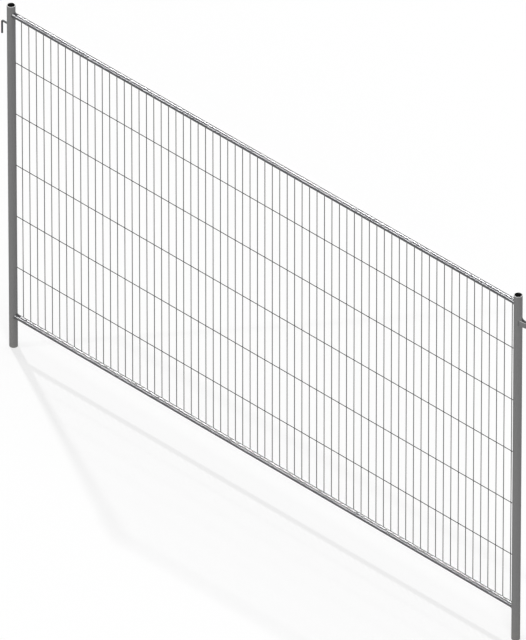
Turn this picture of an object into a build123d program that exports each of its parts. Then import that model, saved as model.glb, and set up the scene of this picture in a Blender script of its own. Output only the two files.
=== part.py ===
from build123d import *
from math import radians, sqrt, tan
import os

# Galvanised site fence panel: two upright tubes, two rails coped and welded between them,
# a welded wire mesh on the back of the rails, and a drop hook and a strap eye that join
# the panel to the next one. Millimetres.
# The origin is the centre of the left post's foot. +X runs along the panel to the right
# post, +Y points to the side that carries the wires, and +Z points up.

# Overall sizes
panel_height = 2000.0
panel_width = 3450.0  # over the outsides of the two posts

# Posts, round tube open at both ends
post_d = 42.4
post_wall = 3.2

# Rails, round tube
rail_d = 28.0
rail_wall = 2.0
top_rail_drop = 49.5  # post's top down to the rail's axis
bottom_rail_rise = 183.5  # ground up to the rail's axis

# Wire mesh
wire_d = 4.0
wire_sides = 6
upright_pitch = 50.0
upright_clear = 20.0  # least room between a post and the first upright wire
upright_past = 2.0  # uprights run this far past each rail's axis
cross_pitch = 300.0
cross_rise = 281.5  # bottom rail's axis up to the lowest cross wire
cross_clear = 100.0  # least room between the highest cross wire and the top rail's axis

# Drop hook on the left post, a bent round bar
hook_d = 10.0
hook_drop = 119.0  # post's top down to the arm's axis
hook_reach = 41.8  # post's face out to the leg's axis
hook_leg = 73.0  # arm's axis down to the tip
hook_bend = 9.0  # bend radius at the bar's axis
hook_tip_chamfer = 1.0

# Strap eye on the right post, a flat bar folded round into a loop
eye_height = 30.0
eye_thick = 3.0
eye_throat = 29.8  # post's face out to the centre of the nose
eye_set_in = 5.9  # the strap's two legs aim this far inside the post's sides
eye_play = 2.5  # room round the hook's bar in the nose
hook_rest = 10.0  # the hook's arm clears the next panel's eye by this on level ground

# Welds and fits
rail_weld = 2.5
fitting_weld = 3.0
wire_weld = 1.5
weld_lean = 15.0  # degrees by which a bead's outside leans in, away from the post
weld_sides = 10  # flats round a bead on a round bar
seam = 0.1  # hairline between pieces that are seated or welded on each other

# Places worked out from the sizes above
post_r = post_d / 2
rail_r = rail_d / 2
wire_r = wire_d / 2
hook_r = hook_d / 2
post_centres = panel_width - post_d
top_rail_z = panel_height - top_rail_drop
bottom_rail_z = bottom_rail_rise

upright_y = rail_r + seam + wire_r
cross_y = upright_y - wire_d
upright_foot = bottom_rail_z - upright_past
upright_length = top_rail_z + upright_past - upright_foot
upright_room = post_centres - post_d - 2 * upright_clear
upright_count = int(upright_room / upright_pitch) + 1
first_upright_x = (post_centres - (upright_count - 1) * upright_pitch) / 2
first_cross_z = bottom_rail_z + cross_rise
cross_count = int((top_rail_z - cross_clear - first_cross_z) / cross_pitch) + 1

hook_z = panel_height - hook_drop
hook_x = post_r + hook_reach
hook_tip_z = hook_z - hook_leg

eye_top_z = hook_z - hook_r - hook_rest
eye_low_z = eye_top_z - eye_height
eye_nose_x = post_r + eye_throat
eye_nose_r = (hook_d + eye_play) / 2 + eye_thick
eye_root_r = post_r - eye_set_in

TO_THE_RIGHT = Rot(0, 90, 0)
TO_THE_LEFT = Rot(0, -90, 0)


def tube(outer_d, wall, length):
    return extrude(Circle(outer_d / 2) - Circle(outer_d / 2 - wall), length)


def post_core(x, spare):
    """A solid post, grown by spare, that coped ends and welds are cut with."""
    return Pos(x, 0, 0) * extrude(Circle(post_r + spare), panel_height)


def between_posts(bars):
    """Copes the ends of bars that run from one post's axis to the other's."""
    return bars - post_core(0, seam) - post_core(post_centres, seam)


def rail(z):
    return between_posts(Pos(0, 0, z) * TO_THE_RIGHT * tube(rail_d, rail_wall, post_centres))


def wire_section(r):
    """A wire has few sides, two of them facing the rails and the crossing wires."""
    return RegularPolygon(r, wire_sides, major_radius=False)


def wire_mesh():
    """Uprights behind the rails, with the cross wires welded flat on their front faces."""
    upright = extrude(wire_section(wire_r), upright_length)
    uprights = [
        Pos(first_upright_x + i * upright_pitch, upright_y, upright_foot) * upright
        for i in range(upright_count)
    ]
    cross = TO_THE_RIGHT * extrude(wire_section(wire_r), post_centres)
    crosses = [
        Pos(0, cross_y, first_cross_z + i * cross_pitch) * cross for i in range(cross_count)
    ]
    return between_posts(crosses[0].fuse(*crosses[1:], *uprights))


def saddle_weld(bar_r, bar_section, sides, leg, y, z, turn):
    """The bead where a bar meets the left post. It is one weld leg proud of the bar where
    the bar's side meets the post, and leans in from there. turn points along the bar."""
    meets_at = sqrt(max(post_r**2 - (y + bar_r) ** 2, 0))
    blank_r = bar_r + leg + meets_at * tan(radians(weld_lean))
    blank = extrude(
        RegularPolygon(blank_r, sides, major_radius=False), post_r + leg, taper=weld_lean
    )
    bead = Pos(0, y, z) * turn * (blank - extrude(bar_section(bar_r + seam), post_d))
    return (bead & post_core(0, leg)) - post_core(0, seam)


def rail_end_weld(z):
    return saddle_weld(rail_r, Circle, weld_sides, rail_weld, 0, z, TO_THE_RIGHT)


def wire_end_welds():
    """One small bead for each cross wire, at the left post."""
    bead = saddle_weld(wire_r, wire_section, wire_sides, wire_weld, cross_y, 0, TO_THE_RIGHT)
    return Compound(
        children=[Pos(0, 0, first_cross_z + i * cross_pitch) * bead for i in range(cross_count)]
    )


def at_right_post(left):
    """The mirror image, on the right post, of a piece on the left one."""
    return Pos(post_centres, 0, 0) * mirror(left, Plane.YZ)


def hook():
    """An arm out of the post and a leg that drops into the next panel's eye."""
    path = FilletPolyline(
        (0, 0, hook_z),
        (-hook_x, 0, hook_z),
        (-hook_x, 0, hook_tip_z),
        radius=hook_bend,
    )
    bar = sweep(Plane(path @ 0, z_dir=path % 0) * Circle(hook_r), path=path)
    bar -= post_core(0, seam)
    return chamfer(bar.edges().sort_by(Axis.Z)[0], hook_tip_chamfer)


def teardrop(spare):
    """The eye's outline in plan, grown by spare: a nose, and legs that spread to the post."""
    nose = Pos(eye_nose_x, 0) * Circle(eye_nose_r + spare)
    return make_hull(nose.edges() + Circle(eye_root_r + spare).edges())


def eye():
    loop = extrude(teardrop(0) - teardrop(-eye_thick), eye_height)
    return Pos(post_centres, 0, eye_low_z) * (loop - post_core(0, seam))


def eye_weld():
    """The upright beads outside the strap's two legs."""
    near_post = teardrop(fitting_weld) & Circle(post_r + fitting_weld)
    beads = near_post - Circle(post_r + seam) - teardrop(seam)
    return Pos(post_centres, 0, eye_low_z) * extrude(beads, eye_height)


post = tube(post_d, post_wall, panel_height)
top_weld = rail_end_weld(top_rail_z)
bottom_weld = rail_end_weld(bottom_rail_z)
wire_welds = wire_end_welds()

nodes = {
    "left_post": post,
    "right_post": Pos(post_centres, 0, 0) * post,
    "top_rail": rail(top_rail_z),
    "bottom_rail": rail(bottom_rail_z),
    "wire_mesh": wire_mesh(),
    "hook": hook(),
    "eye": eye(),
    "top_left_weld": top_weld,
    "top_right_weld": at_right_post(top_weld),
    "bottom_left_weld": bottom_weld,
    "bottom_right_weld": at_right_post(bottom_weld),
    "left_wire_welds": wire_welds,
    "right_wire_welds": at_right_post(wire_welds),
    "hook_weld": saddle_weld(hook_r, Circle, weld_sides, fitting_weld, 0, hook_z, TO_THE_LEFT),
    "eye_weld": eye_weld(),
}

os.makedirs("parts", exist_ok=True)
for name, shape in nodes.items():
    export_step(shape, f"parts/{name}.step")
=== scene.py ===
import math
import random

import bmesh
import bpy
from mathutils import Matrix, Vector


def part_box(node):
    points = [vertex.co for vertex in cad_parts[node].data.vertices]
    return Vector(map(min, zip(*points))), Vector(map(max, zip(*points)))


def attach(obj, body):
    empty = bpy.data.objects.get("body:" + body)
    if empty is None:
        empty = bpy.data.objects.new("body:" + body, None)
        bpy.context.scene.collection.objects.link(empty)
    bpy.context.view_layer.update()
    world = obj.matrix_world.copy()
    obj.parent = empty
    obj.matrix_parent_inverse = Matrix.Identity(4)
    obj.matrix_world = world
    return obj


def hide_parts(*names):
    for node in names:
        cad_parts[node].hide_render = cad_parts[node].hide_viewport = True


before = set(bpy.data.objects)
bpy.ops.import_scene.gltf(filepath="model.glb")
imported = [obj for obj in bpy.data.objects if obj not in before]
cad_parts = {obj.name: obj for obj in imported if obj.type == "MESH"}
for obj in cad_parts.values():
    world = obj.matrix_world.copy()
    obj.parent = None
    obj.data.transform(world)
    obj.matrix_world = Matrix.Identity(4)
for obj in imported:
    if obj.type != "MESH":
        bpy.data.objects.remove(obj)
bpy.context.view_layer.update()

# Everything is in metres. The panel runs along X, with its wires on the +Y side.

MM = 0.001
BODY = "root"
SEED = 7

# Sizes that the frame doesn't give by itself
UPRIGHTS = 67
UPRIGHT_PITCH = 50 * MM
CROSS_WIRES = 5
CROSS_PITCH = 300 * MM
CROSS_RISE = 281.5 * MM  # bottom rail's axis up to the lowest cross wire
POST_WALL = 3.2 * MM
RAIL_WALL = 2 * MM
SEAM = 0.1 * MM  # hairline between pieces that touch

# Places, read from the frame
post_low, post_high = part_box("left_post")
right_low, right_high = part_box("right_post")
post_r = (post_high.x - post_low.x) / 2
post_bore_r = post_r - POST_WALL
post_height = post_high.z
right_x = (right_low.x + right_high.x) / 2
top_low, top_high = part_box("top_rail")
bottom_low, bottom_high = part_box("bottom_rail")
rail_r = (top_high.z - top_low.z) / 2
top_rail_z = (top_low.z + top_high.z) / 2
bottom_rail_z = (bottom_low.z + bottom_high.z) / 2
mesh_low, mesh_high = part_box("wire_mesh")
wire_r = (mesh_high.y - mesh_low.y) / 4
upright_y = mesh_high.y - wire_r
cross_y = mesh_low.y + wire_r
upright_xs = [right_x / 2 + (i - (UPRIGHTS - 1) / 2) * UPRIGHT_PITCH for i in range(UPRIGHTS)]
cross_zs = [bottom_rail_z + CROSS_RISE + i * CROSS_PITCH for i in range(CROSS_WIRES)]
hook_low, hook_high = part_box("hook")
hook_r = (hook_high.y - hook_low.y) / 2
hook_x = hook_low.x + hook_r
hook_z = hook_high.z - hook_r
eye_low, eye_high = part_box("eye")

draw = random.Random(SEED)


def show(made):
    bpy.context.scene.collection.objects.link(made)
    return made


# Camera

VIEW_AZIMUTH = math.radians(45)
VIEW_RISE = math.asin(1 / math.sqrt(3))
LENS = 1350.0
SENSOR = 36.0
PICTURE_HEIGHT = 3.0562
NEAREST_SEEN = 1.0
AIM = Vector((1.7031, 0.0041, 1.0003))


def set_camera():
    """A true isometric view, taken from far off through a very long lens."""
    away = Vector((
        math.sin(VIEW_AZIMUTH) * math.cos(VIEW_RISE),
        -math.cos(VIEW_AZIMUTH) * math.cos(VIEW_RISE),
        math.sin(VIEW_RISE),
    ))
    distance = PICTURE_HEIGHT * LENS / SENSOR
    camera = bpy.data.cameras.new("camera")
    camera.lens = LENS
    camera.sensor_width = SENSOR
    camera.clip_start = NEAREST_SEEN
    camera.clip_end = 2 * distance
    holder = show(bpy.data.objects.new("camera", camera))
    holder.location = AIM + away * distance
    holder.rotation_euler = (-away).to_track_quat("-Z", "Y").to_euler()
    bpy.context.scene.camera = holder


# Node helpers

def put(tree, socket, value):
    """Gives a socket a value, or links it where the value is another socket."""
    if isinstance(value, bpy.types.NodeSocket):
        tree.links.new(value, socket)
    else:
        socket.default_value = value


def add_node(tree, kind, settings=None, sockets=None):
    made = tree.nodes.new(kind)
    for name, value in (settings or {}).items():
        setattr(made, name, value)
    for name, value in (sockets or {}).items():
        put(tree, made.inputs[name], value)
    return made


def maths(tree, operation, a, b=0.0, clamp=False):
    settings = {"operation": operation, "use_clamp": clamp}
    return add_node(tree, "ShaderNodeMath", settings, {0: a, 1: b}).outputs[0]


def vector_maths(tree, operation, sockets):
    return add_node(tree, "ShaderNodeVectorMath", {"operation": operation}, sockets).outputs


def scaled(tree, vector, factor):
    return vector_maths(tree, "SCALE", {0: vector, "Scale": factor})["Vector"]


def spread(tree, value, low, high, from_low=0.0, from_high=1.0):
    """Maps a value from one range to another, clamped."""
    sockets = {
        "Value": value, "From Min": from_low, "From Max": from_high, "To Min": low, "To Max": high
    }
    return add_node(tree, "ShaderNodeMapRange", None, sockets).outputs["Result"]


def around_zero(tree, value, contrast):
    """Turns a value round 0.5 into one round 0."""
    return maths(tree, "MULTIPLY", maths(tree, "SUBTRACT", value, 0.5), contrast)


def blended(tree, factor, a, b):
    made = add_node(tree, "ShaderNodeMix", {"data_type": "RGBA"}, {0: factor, 6: a, 7: b})
    return made.outputs[2]


def object_place(tree):
    return add_node(tree, "ShaderNodeTexCoord").outputs["Object"]


def noise(tree, place, scale, detail, roughness=0.5):
    sockets = {"Vector": place, "Scale": scale, "Detail": detail, "Roughness": roughness}
    return add_node(tree, "ShaderNodeTexNoise", None, sockets).outputs


def new_group(name, inputs, outputs):
    """A node group with named inputs, each with its default, and named outputs."""
    tree = bpy.data.node_groups.new(name, "ShaderNodeTree")
    for label, kind, default in inputs:
        socket = tree.interface.new_socket(label, in_out="INPUT", socket_type="NodeSocket" + kind)
        socket.default_value = default
    for label, kind in outputs:
        tree.interface.new_socket(label, in_out="OUTPUT", socket_type="NodeSocket" + kind)
    given = tree.nodes.new("NodeGroupInput").outputs
    result = tree.nodes.new("NodeGroupOutput").inputs
    return tree, given, result


def use_group(tree, group, sockets):
    made = tree.nodes.new("ShaderNodeGroup")
    made.node_tree = group
    for name, value in sockets.items():
        put(tree, made.inputs[name], value)
    return made.outputs


def grey(level):
    return (level, level, level, 1)


# Shared effects

PLAIN_GREY = grey(0.4)
DUST_BROWN = (0.42, 0.38, 0.33, 1)
WARP_SCALE = 400.0
WARP_REACH = 2 * MM
GRAIN_SCALE = 1500.0
RIDGE_HEIGHT = 0.4  # crystals' edges, against the grain
DULL_RANGE = (0.2, 0.8)  # what the mix of crystals and clouds mostly spans
PATCH_SCALE = 35.0
PATCH_RANGE = (0.35, 0.65)  # the part of the noise that shapes the dust's patches
THINNEST_PATCH = 0.3


def zinc_skin_group():
    """Hot-dip zinc: faint crystals, slow clouds of tone and a fine grain."""
    tree, given, result = new_group(
        "zinc_skin",
        [
            ("Base", "Color", PLAIN_GREY),
            ("Crystal Scale", "Float", 220),
            ("Crystal Contrast", "Float", 0.1),
            ("Cloud Scale", "Float", 9),
            ("Cloud Contrast", "Float", 0.1),
            ("Smoothest", "Float", 0.35),
            ("Roughest", "Float", 0.6),
        ],
        [("Color", "Color"), ("Roughness", "Float"), ("Height", "Float")],
    )
    place = object_place(tree)
    warp = noise(tree, place, WARP_SCALE, detail=1.0)["Color"]
    bent = vector_maths(tree, "MULTIPLY_ADD", {0: warp, 1: [WARP_REACH] * 3, 2: place})[0]
    crystals = add_node(
        tree, "ShaderNodeTexVoronoi", None, {"Vector": bent, "Scale": given["Crystal Scale"]}
    ).outputs
    cell = add_node(tree, "ShaderNodeSeparateColor", None, {0: crystals["Color"]}).outputs[0]
    clouds = noise(tree, place, given["Cloud Scale"], detail=4.0, roughness=0.6)[0]
    grain = noise(tree, place, GRAIN_SCALE, detail=2.0)[0]

    cell_tone = around_zero(tree, cell, given["Crystal Contrast"])
    cloud_tone = around_zero(tree, clouds, given["Cloud Contrast"])
    tone = maths(tree, "ADD", maths(tree, "ADD", cell_tone, cloud_tone), 1.0)
    put(tree, result["Color"], scaled(tree, given["Base"], tone))

    half_cell = maths(tree, "MULTIPLY", cell, 0.5)
    half_cloud = maths(tree, "MULTIPLY", clouds, 0.5)
    dull = maths(tree, "ADD", half_cell, half_cloud)
    roughness = spread(tree, dull, given["Smoothest"], given["Roughest"], *DULL_RANGE)
    put(tree, result["Roughness"], roughness)

    ridge = maths(tree, "MULTIPLY", crystals["Distance"], RIDGE_HEIGHT)
    put(tree, result["Height"], maths(tree, "ADD", ridge, grain))
    return tree


def drawn_lines_group():
    """Fine lines left along a bar by the drawing or rolling die."""
    tree, given, result = new_group(
        "drawn_lines",
        [("Stretch", "Vector", (1500, 1500, 12)), ("Contrast", "Float", 0.1)],
        [("Tone", "Float"), ("Height", "Float")],
    )
    stretched = {0: object_place(tree), 1: given["Stretch"]}
    lines = noise(tree, vector_maths(tree, "MULTIPLY", stretched)[0], 1.0, detail=3.0)[0]
    put(tree, result["Tone"], maths(tree, "ADD", around_zero(tree, lines, given["Contrast"]), 1.0))
    put(tree, result["Height"], lines)
    return tree


def site_dust_group():
    """Dust that thins out upwards from the ground, in soft patches."""
    tree, given, result = new_group(
        "site_dust",
        [
            ("Color", "Color", PLAIN_GREY),
            ("Dust", "Color", DUST_BROWN),
            ("Reach", "Float", 0.25),
            ("Amount", "Float", 0.2),
        ],
        [("Color", "Color")],
    )
    place = object_place(tree)
    height = add_node(tree, "ShaderNodeSeparateXYZ", None, {0: place}).outputs["Z"]
    climbed = maths(tree, "DIVIDE", height, given["Reach"])
    near_ground = maths(tree, "SUBTRACT", 1.0, climbed, clamp=True)
    patches = spread(
        tree, noise(tree, place, PATCH_SCALE, detail=5.0)[0], THINNEST_PATCH, 1.0, *PATCH_RANGE
    )
    patchy = maths(tree, "MULTIPLY", near_ground, patches)
    mask = maths(tree, "MULTIPLY", patchy, given["Amount"])
    put(tree, result["Color"], blended(tree, mask, given["Color"], given["Dust"]))
    return tree


zinc_skin = zinc_skin_group()
drawn_lines = drawn_lines_group()
site_dust = site_dust_group()


# Materials

METALLIC = 0.05
RELIEF_STRENGTH = 0.6
DRAWN_SPREAD = 0.9  # how far a drawn tube's highlights spread round it
RIM_ROUND = 0.5 * MM
END_HIGHLIGHT_FACING = (0.7, 0.95)  # how squarely a face looks up or down where the painted end highlight starts

POST_GREY = grey(0.31)
RAIL_GREY = (0.065, 0.067, 0.075, 1)
WIRE_GREY = grey(0.04)
HOOK_GREY = (0.10, 0.10, 0.102, 1)
STRAP_GREY = (0.24, 0.24, 0.243, 1)
WELD_GREY = grey(0.22)
# near black, painted on a post's bore as shade
BORE_PAINTED_SHADE = grey(0.012)
# pale grey, painted on flat ends as a highlight
END_PAINTED_HIGHLIGHT = grey(0.80)

POST_FINISH = (0.6, 0.75)
RAIL_FINISH = (0.21, 0.22)
BAR_FINISH = (0.5, 0.65)
STRAP_FINISH = (0.3, 0.5)
WELD_FINISH = (0.6, 0.75)

WIRE_LINES_UP = (1500, 1500, 12)
WIRE_LINES_ALONG = (12, 1500, 1500)
RAIL_LINES_ALONG = (12, 900, 900)


def galvanised(
    name, base, finish, gloss=0.5, stretch=None, bump=0.05 * MM, ends=None, drawn_axis=None
):
    """A galvanised finish. finish is its least and greatest roughness, and bump its relief's
    depth. stretch draws lines along a bar, ends is a function that paints a highlight on a tube's
    flat ends and painted shade in a post's bore, and drawn_axis spreads the highlights round a
    tube along that axis."""
    material = bpy.data.materials.new(name)
    material.use_nodes = True
    tree = material.node_tree
    shader = tree.nodes["Principled BSDF"].inputs
    smoothest, roughest = finish
    skin = use_group(
        tree, zinc_skin, {"Base": base, "Smoothest": smoothest, "Roughest": roughest}
    )
    colour, height = skin["Color"], skin["Height"]
    if stretch:
        lines = use_group(tree, drawn_lines, {"Stretch": stretch})
        colour = scaled(tree, colour, lines["Tone"])
        height = maths(tree, "ADD", height, lines["Height"])
    colour = use_group(tree, site_dust, {"Color": colour})["Color"]
    # painted highlight on flat ends, and for a post painted shade in its bore
    if ends:
        colour = ends(tree, colour)
    if drawn_axis:
        settings = {"direction_type": "RADIAL", "axis": drawn_axis}
        put(tree, shader["Tangent"], add_node(tree, "ShaderNodeTangent", settings).outputs[0])
        shader["Anisotropic"].default_value = DRAWN_SPREAD
    relief = add_node(
        tree, "ShaderNodeBump", None,
        {"Height": height, "Distance": bump, "Strength": RELIEF_STRENGTH},
    )
    put(tree, shader["Base Color"], colour)
    put(tree, shader["Roughness"], skin["Roughness"])
    put(tree, shader["Normal"], relief.outputs[0])
    shader["Metallic"].default_value = METALLIC
    shader["Specular IOR Level"].default_value = gloss
    return material


def paint_end_highlight(tree, colour):
    """Paints a highlight on the flat ends of an upright tube or strap: faces that look up or down
    are painted pale grey.
    """
    facing = add_node(tree, "ShaderNodeTexCoord").outputs["Normal"]
    upward = add_node(tree, "ShaderNodeSeparateXYZ", None, {0: facing}).outputs["Z"]
    # painted highlight: faces that look squarely up or down blend to a pale grey
    end_highlight = spread(tree, maths(tree, "ABSOLUTE", upward), 0.0, 1.0, *END_HIGHLIGHT_FACING)
    return blended(tree, end_highlight, colour, END_PAINTED_HIGHLIGHT)


def post_end_highlight_and_bore_shade(centre_x):
    """Paints a highlight on a post's flat ends, and painted shade, near black, on the bore inside
    its wall.
    """
    def paint_highlight_and_bore_shade(tree, colour):
        from_axis = vector_maths(
            tree, "SUBTRACT", {0: object_place(tree), 1: (centre_x, 0, 0)}
        )[0]
        flat = vector_maths(tree, "MULTIPLY", {0: from_axis, 1: (1, 1, 0)})[0]
        radius = vector_maths(tree, "LENGTH", {0: flat})["Value"]
        # painted shade: the bore inside the wall blends to near black
        bore_shade = spread(tree, radius, 1.0, 0.0, post_bore_r, post_bore_r + RIM_ROUND)
        return blended(tree, bore_shade, paint_end_highlight(tree, colour), BORE_PAINTED_SHADE)
    return paint_highlight_and_bore_shade


left_post_zinc = galvanised(
    "left_post_zinc", POST_GREY, POST_FINISH, gloss=0.25, ends=post_end_highlight_and_bore_shade(0.0)
)
right_post_zinc = galvanised(
    "right_post_zinc", POST_GREY, POST_FINISH, gloss=0.25, ends=post_end_highlight_and_bore_shade(right_x)
)
rail_zinc = galvanised(
    "rail_zinc", RAIL_GREY, RAIL_FINISH, stretch=RAIL_LINES_ALONG, bump=0.003 * MM, drawn_axis="X"
)
upright_zinc = galvanised(
    "upright_zinc", WIRE_GREY, BAR_FINISH, gloss=0.25, stretch=WIRE_LINES_UP
)
cross_zinc = galvanised(
    "cross_zinc", WIRE_GREY, BAR_FINISH, gloss=0.25, stretch=WIRE_LINES_ALONG
)
hook_zinc = galvanised("hook_zinc", HOOK_GREY, BAR_FINISH, gloss=0.3)
strap_zinc = galvanised("strap_zinc", STRAP_GREY, STRAP_FINISH, bump=0.08 * MM, ends=paint_end_highlight)
weld_zinc = galvanised("weld_zinc", WELD_GREY, WELD_FINISH, gloss=0.2, bump=0.15 * MM)


# Mesh helpers

SHARP = math.radians(35)
MERGE_DISTANCE = 0.01 * MM
ROUNDING_STEPS = 3


def shade(bm):
    """Smooth faces, with a crisp line wherever two faces meet at a real corner."""
    for face in bm.faces:
        face.smooth = True
    for edge in bm.edges:
        edge.smooth = edge.calc_face_angle(0.0) < SHARP


def to_object(name, bm, material):
    mesh = bpy.data.meshes.new(name)
    bm.to_mesh(mesh)
    bm.free()
    mesh.materials.append(material)
    return show(bpy.data.objects.new(name, mesh))


def piece(name, bm, material, replaces=()):
    bmesh.ops.recalc_face_normals(bm, faces=bm.faces)
    shade(bm)
    made = to_object(name, bm, material)
    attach(made, BODY)
    if replaces:
        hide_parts(*replaces)
    return made


def along_x(point):
    """A matrix that stands at a point and turns Z to X."""
    return Matrix.Translation(point) @ Matrix.Rotation(math.pi / 2, 4, "Y")


def turn_outline(bm, centre, axis, sides):
    """Turns the outline of a bmesh's one face round an axis, into a tube's closed skin."""
    outline = list(bm.edges)
    bmesh.ops.delete(bm, geom=list(bm.faces), context="FACES_ONLY")
    bmesh.ops.spin(
        bm, geom=outline, cent=centre, axis=axis, angle=2 * math.pi, steps=sides, use_merge=True
    )
    bmesh.ops.remove_doubles(bm, verts=bm.verts, dist=MERGE_DISTANCE)


# Posts

POST_SIDES = 64
RIM_LINE = 1 * MM  # an edge loop this far in keeps a rim's rounding off the wall's shading


def make_post(name, centre_x, material, node):
    """A round tube turned from its wall's outline, with softly broken rims."""
    bm = bmesh.new()
    top = post_height
    bm.faces.new([
        bm.verts.new((centre_x + r, 0, z))
        for r, z in ((post_r, 0), (post_r, top), (post_bore_r, top), (post_bore_r, 0))
    ])
    bmesh.ops.bevel(
        bm, geom=list(bm.verts), offset=RIM_ROUND, offset_type="OFFSET", segments=ROUNDING_STEPS,
        profile=0.5, affect="VERTICES", material=-1,
    )
    turn_outline(bm, (centre_x, 0, 0), (0, 0, 1), POST_SIDES)
    for level in (RIM_LINE, top - RIM_LINE):
        everything = list(bm.verts) + list(bm.edges) + list(bm.faces)
        bmesh.ops.bisect_plane(bm, geom=everything, plane_co=(0, 0, level), plane_no=(0, 0, 1))
    return piece(name, bm, material, [node])


# Rails

RAIL_SIDES = 48


def make_rail(name, z, node):
    """A round tube turned from its wall's outline, with both ends coped to the posts."""
    bm = bmesh.new()
    bore_r = rail_r - RAIL_WALL
    bm.faces.new([
        bm.verts.new((x, 0, z + r))
        for x, r in ((0, rail_r), (right_x, rail_r), (right_x, bore_r), (0, bore_r))
    ])
    turn_outline(bm, (0, 0, z), (1, 0, 0), RAIL_SIDES)
    for vert in bm.verts:
        coped = math.sqrt(post_r ** 2 - vert.co.y ** 2)
        vert.co.x = coped if vert.co.x < right_x / 2 else right_x - coped
    return piece(name, bm, rail_zinc, [node])


# Wire mesh

WIRE_FACES = 12
CROSSING_WELD = (2.5 * MM, 1.5 * MM, 2.5 * MM)
RAIL_SPOT_WELD = (2.6 * MM, 1.2 * MM, 3 * MM)
BLOB_SIZES = (0.9, 1.1)


def add_wire(bm, matrix, length):
    bmesh.ops.create_cone(
        bm, cap_ends=True, segments=WIRE_FACES, radius1=wire_r, radius2=wire_r, depth=length,
        matrix=matrix,
    )


def add_blob(bm, centre, half_sizes):
    """A small rounded lump: the metal that a spot weld squeezes out."""
    turn = Matrix.Rotation(draw.uniform(0, math.pi), 4, "Y")
    size = draw.uniform(*BLOB_SIZES)
    stretch = Matrix.Diagonal((*(size * half for half in half_sizes), 1))
    matrix = Matrix.Translation(centre) @ stretch @ turn
    bmesh.ops.create_icosphere(bm, subdivisions=1, radius=1.0, matrix=matrix)


def make_uprights():
    bm = bmesh.new()
    length = mesh_high.z - mesh_low.z
    middle = (mesh_high.z + mesh_low.z) / 2
    for x in upright_xs:
        add_wire(bm, Matrix.Translation((x, upright_y, middle)), length)
    return piece("mesh_uprights", bm, upright_zinc, ["wire_mesh"])


def make_cross_wires():
    """Straight wires whose ends are set against the posts."""
    bm = bmesh.new()
    end_x = math.sqrt(post_r ** 2 - (cross_y + wire_r) ** 2)
    for z in cross_zs:
        add_wire(bm, along_x((right_x / 2, cross_y, z)), right_x - 2 * end_x)
    return piece("mesh_cross_wires", bm, cross_zinc, ["wire_mesh"])


def make_crossing_welds():
    bm = bmesh.new()
    touch_y = (upright_y + cross_y) / 2
    for x in upright_xs:
        for z in cross_zs:
            add_blob(bm, (x, touch_y, z), CROSSING_WELD)
    return piece("mesh_crossing_welds", bm, weld_zinc, ["wire_mesh"])


def make_rail_spot_welds():
    bm = bmesh.new()
    for x in upright_xs:
        for z in (bottom_rail_z, top_rail_z):
            add_blob(bm, (x, rail_r + SEAM, z), RAIL_SPOT_WELD)
    return piece("rail_spot_welds", bm, weld_zinc)


# Weld beads

RAIL_WELD = 2.5 * MM
FITTING_WELD = 3 * MM
WIRE_WELD = 1.5 * MM
RIPPLE_LENGTH = 2.6 * MM
RIPPLE_STEPS = 4
RIPPLE_SWELL = 0.1
FEWEST_RIPPLES = 6
BEAD_SIDES = 10
BEAD_FATNESS = 0.62  # a bead's section radius, as a share of the weld's leg
BEAD_INSET = 0.25  # how far its heart stands off both surfaces, as a share of the leg


def saddle_drop(y):
    """How far the post's face falls back from its crown, this far off its middle."""
    return post_r - math.sqrt(max(post_r ** 2 - y ** 2, 0))


def make_saddle_welds(name, post_x, y, zs, bar_r, leg, side, node):
    """Rippled beads round bars, where the bars meet the post's curved face. side is 1 for bars
    that leave the post towards +X and -1 for those that leave it towards -X."""
    bm = bmesh.new()
    inset = leg * BEAD_INSET
    ring_r = bar_r + inset
    ripples = max(FEWEST_RIPPLES, round(2 * math.pi * ring_r / RIPPLE_LENGTH))
    for z in zs:
        bead = bmesh.ops.create_circle(
            bm, cap_ends=False, segments=BEAD_SIDES, radius=leg * BEAD_FATNESS,
            matrix=Matrix.Rotation(math.pi / 2, 4, "X"),
        )["verts"]
        crown = Vector((post_x + side * (post_r + inset), y, z))
        bmesh.ops.translate(bm, vec=crown + Vector((0, 0, ring_r)), verts=bead)
        before = set(bm.verts) - set(bead)
        rim = {edge for vert in bead for edge in vert.link_edges}
        bmesh.ops.spin(
            bm, geom=list(rim), cent=crown, axis=(1, 0, 0), angle=2 * math.pi,
            steps=ripples * RIPPLE_STEPS, use_merge=True,
        )
        for vert in set(bm.verts) - before:
            turn = math.atan2(vert.co.y - y, vert.co.z - z)
            heart = crown + ring_r * Vector((0, math.sin(turn), math.cos(turn)))
            swell = 1 + RIPPLE_SWELL * math.cos(turn * ripples)
            vert.co = heart + (vert.co - heart) * swell
            vert.co.x -= side * saddle_drop(heart.y)
    bmesh.ops.remove_doubles(bm, verts=bm.verts, dist=MERGE_DISTANCE)
    return piece(name, bm, weld_zinc, [node])


def make_rail_welds():
    for level, z in (("top", top_rail_z), ("bottom", bottom_rail_z)):
        for place, x, side in (("left", 0.0, 1), ("right", right_x, -1)):
            node = f"{level}_{place}_weld"
            make_saddle_welds(node + "_bead", x, 0.0, [z], rail_r, RAIL_WELD, side, node)


def make_wire_end_welds():
    for place, x, side in (("left", 0.0, 1), ("right", right_x, -1)):
        node = f"{place}_wire_welds"
        make_saddle_welds(node + "_beads", x, cross_y, cross_zs, wire_r, WIRE_WELD, side, node)


# Hook and eye

BAR_SIDES = 24
BEND_STEPS = 14
HOOK_BEND = 9 * MM  # bend radius at the bar's axis
HOOK_TIP_CHAMFER = 1 * MM
HOOK_TIP_STEPS = 2
STRAP_THICK = 3 * MM
STRAP_EDGE = 0.7 * MM
EYE_NOSE_R = 9.25 * MM
EYE_ROOT_R = 15.3 * MM  # the legs aim at a circle of this size round the post's axis
UNIT_SQUARE = 0.5  # create_grid takes half a side


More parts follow.
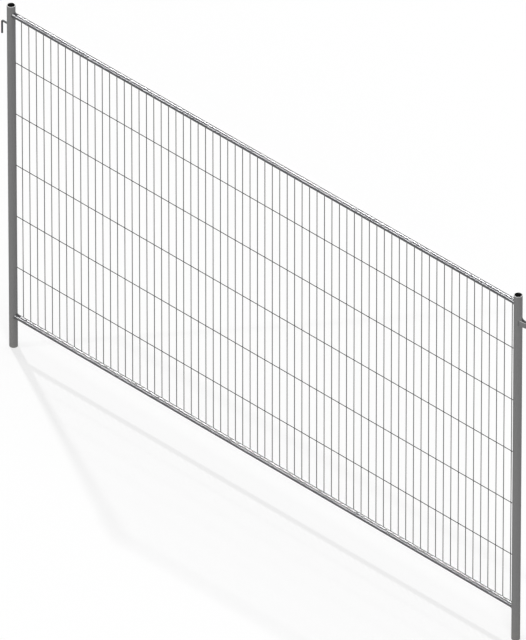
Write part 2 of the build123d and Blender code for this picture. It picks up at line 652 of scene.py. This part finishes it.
def extrude_end(bm, geom, step):
    """Extrudes an end face by a step and returns the new end face in a list."""
    faces = [g for g in geom if isinstance(g, bmesh.types.BMFace)]
    made = bmesh.ops.extrude_face_region(bm, geom=faces)["geom"]
    bmesh.ops.translate(bm, vec=step, verts=[g for g in made if isinstance(g, bmesh.types.BMVert)])
    bmesh.ops.delete(bm, geom=faces, context="FACES_ONLY")
    return [g for g in made if isinstance(g, bmesh.types.BMFace)]


def make_hook():
    """A round bar: out from the post, over a bend, and down to a chamfered tip."""
    bm = bmesh.new()
    start_x = -post_r + POST_WALL / 2
    bend_x = hook_x + HOOK_BEND
    bmesh.ops.create_circle(
        bm, cap_ends=True, segments=BAR_SIDES, radius=hook_r, matrix=along_x((start_x, 0, hook_z))
    )
    arm_end = extrude_end(bm, list(bm.faces), Vector((bend_x - start_x, 0, 0)))
    bend_end = bmesh.ops.spin(
        bm, geom=arm_end, cent=(bend_x, 0, hook_z - HOOK_BEND), axis=(0, 1, 0),
        angle=-math.pi / 2, steps=BEND_STEPS,
    )["geom_last"]
    leg = hook_z - HOOK_BEND - hook_low.z
    tip = extrude_end(bm, bend_end, Vector((0, 0, -leg)))
    bmesh.ops.bevel(
        bm, geom=list(tip[0].edges), offset=HOOK_TIP_CHAMFER, offset_type="OFFSET",
        segments=HOOK_TIP_STEPS, profile=0.5, affect="EDGES", material=-1,
    )
    return piece("hook_bar", bm, hook_zinc, ["hook"])


def make_eye():
    """A flat strap that runs out from the post, round a nose and back again."""
    bm = bmesh.new()
    nose = Vector((eye_high.x - EYE_NOSE_R, 0, (eye_low.z + eye_high.z) / 2))
    reach = nose.x - right_x
    slant = math.asin((EYE_ROOT_R - EYE_NOSE_R) / reach)
    out = Vector((math.cos(slant), -math.sin(slant), 0))
    side = Vector((math.sin(slant), math.cos(slant), 0))
    leg_length = reach * math.cos(slant) - post_bore_r
    start = nose + side * (EYE_NOSE_R - STRAP_THICK / 2) - out * leg_length
    turn = Matrix(((side.x, 0, out.x), (side.y, 0, out.y), (0, 1, 0))).to_4x4()
    size = Matrix.Diagonal((STRAP_THICK, eye_high.z - eye_low.z, 1, 1))
    bmesh.ops.create_grid(
        bm, x_segments=1, y_segments=1, size=UNIT_SQUARE,
        matrix=Matrix.Translation(start) @ turn @ size,
    )
    bmesh.ops.bevel(
        bm, geom=list(bm.verts), offset=STRAP_EDGE, offset_type="OFFSET", segments=ROUNDING_STEPS,
        profile=0.5, affect="VERTICES", material=-1,
    )
    leg_end = extrude_end(bm, list(bm.faces), out * leg_length)
    nose_end = bmesh.ops.spin(
        bm, geom=leg_end, cent=nose, axis=(0, 0, 1), angle=2 * slant - math.pi,
        steps=2 * BEND_STEPS,
    )["geom_last"]
    back = Vector((-out.x, out.y, 0))
    extrude_end(bm, nose_end, back * leg_length)
    return piece("eye_strap", bm, strap_zinc, ["eye"])


# Stage and light

# Each lamp has the direction that it shines from, its strength and the angle that it fills.
# The back and front lights lie where a rail's top and front mirror them to the camera.
LAMPS = {
    "overhead_light": ((0, 0, 1), 0.95, 40),
    "key_light": ((0.75, -0.5, 0.43), 1.0, 20),
    "back_light": ((-0.577, 0.292, 0.761), 1.2, 2.5),
    "front_light": ((-0.577, -0.740, 0.346), 0.62, 2),
}
LAMP_DISTANCE = 5.0
SKY_STRENGTH = 0.30
FLOOR_SHOWN = 0.40  # the floor's grey as it is seen, with the glow that lifts it to white
FLOOR_GLOW = 0.56
FLOOR_BOUNCE = 0.10  # the floor's grey as it lights the panel
FLOOR_HALF = 300.0
WHITE = grey(1)


def seen_directly(tree):
    """1 for what the camera sees, also in metal or through glass."""
    rays = tree.nodes.new("ShaderNodeLightPath").outputs
    seen = maths(tree, "MAXIMUM", rays["Is Camera Ray"], rays["Is Glossy Ray"])
    return maths(tree, "MAXIMUM", seen, rays["Is Transmission Ray"])


def set_floor():
    """A white floor that keeps a faint shadow and throws little light back at the panel."""
    material = bpy.data.materials.new("pale_floor")
    material.use_nodes = True
    tree = material.node_tree
    shader = tree.nodes["Principled BSDF"].inputs
    seen = seen_directly(tree)
    put(tree, shader["Base Color"], blended(tree, seen, grey(FLOOR_BOUNCE), grey(FLOOR_SHOWN)))
    put(tree, shader["Emission Strength"], maths(tree, "MULTIPLY", seen, FLOOR_GLOW))
    shader["Emission Color"].default_value = WHITE
    shader["Roughness"].default_value = 1.0
    shader["Specular IOR Level"].default_value = 0.0
    bm = bmesh.new()
    bmesh.ops.create_grid(bm, x_segments=1, y_segments=1, size=FLOOR_HALF)
    to_object("floor", bm, material)


def set_light():
    for name, (source, strength, angle) in LAMPS.items():
        lamp = bpy.data.lights.new(name, "SUN")
        lamp.energy = strength
        lamp.angle = math.radians(angle)
        holder = show(bpy.data.objects.new(name, lamp))
        holder.location = AIM + LAMP_DISTANCE * Vector(source)
        holder.rotation_euler = (-Vector(source)).to_track_quat("-Z", "Y").to_euler()
    world = bpy.data.worlds.new("studio")
    bpy.context.scene.world = world
    world.use_nodes = True
    tree = world.node_tree
    background = tree.nodes["Background"].inputs
    background["Color"].default_value = WHITE
    put(tree, background["Strength"], spread(tree, seen_directly(tree), SKY_STRENGTH, 1.0))


set_camera()
make_post("left_post_tube", 0.0, left_post_zinc, "left_post")
make_post("right_post_tube", right_x, right_post_zinc, "right_post")
make_rail("top_rail_tube", top_rail_z, "top_rail")
make_rail("bottom_rail_tube", bottom_rail_z, "bottom_rail")
make_uprights()
make_cross_wires()
make_crossing_welds()
make_rail_spot_welds()
make_rail_welds()
make_wire_end_welds()
make_saddle_welds("hook_weld_bead", 0.0, 0.0, [hook_z], hook_r, FITTING_WELD, -1, "hook_weld")
make_hook()
make_eye()
eye_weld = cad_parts["eye_weld"]
eye_weld.data.materials.clear()
eye_weld.data.materials.append(weld_zinc)
set_floor()
set_light()
bpy.context.scene.view_settings.view_transform = "Standard"
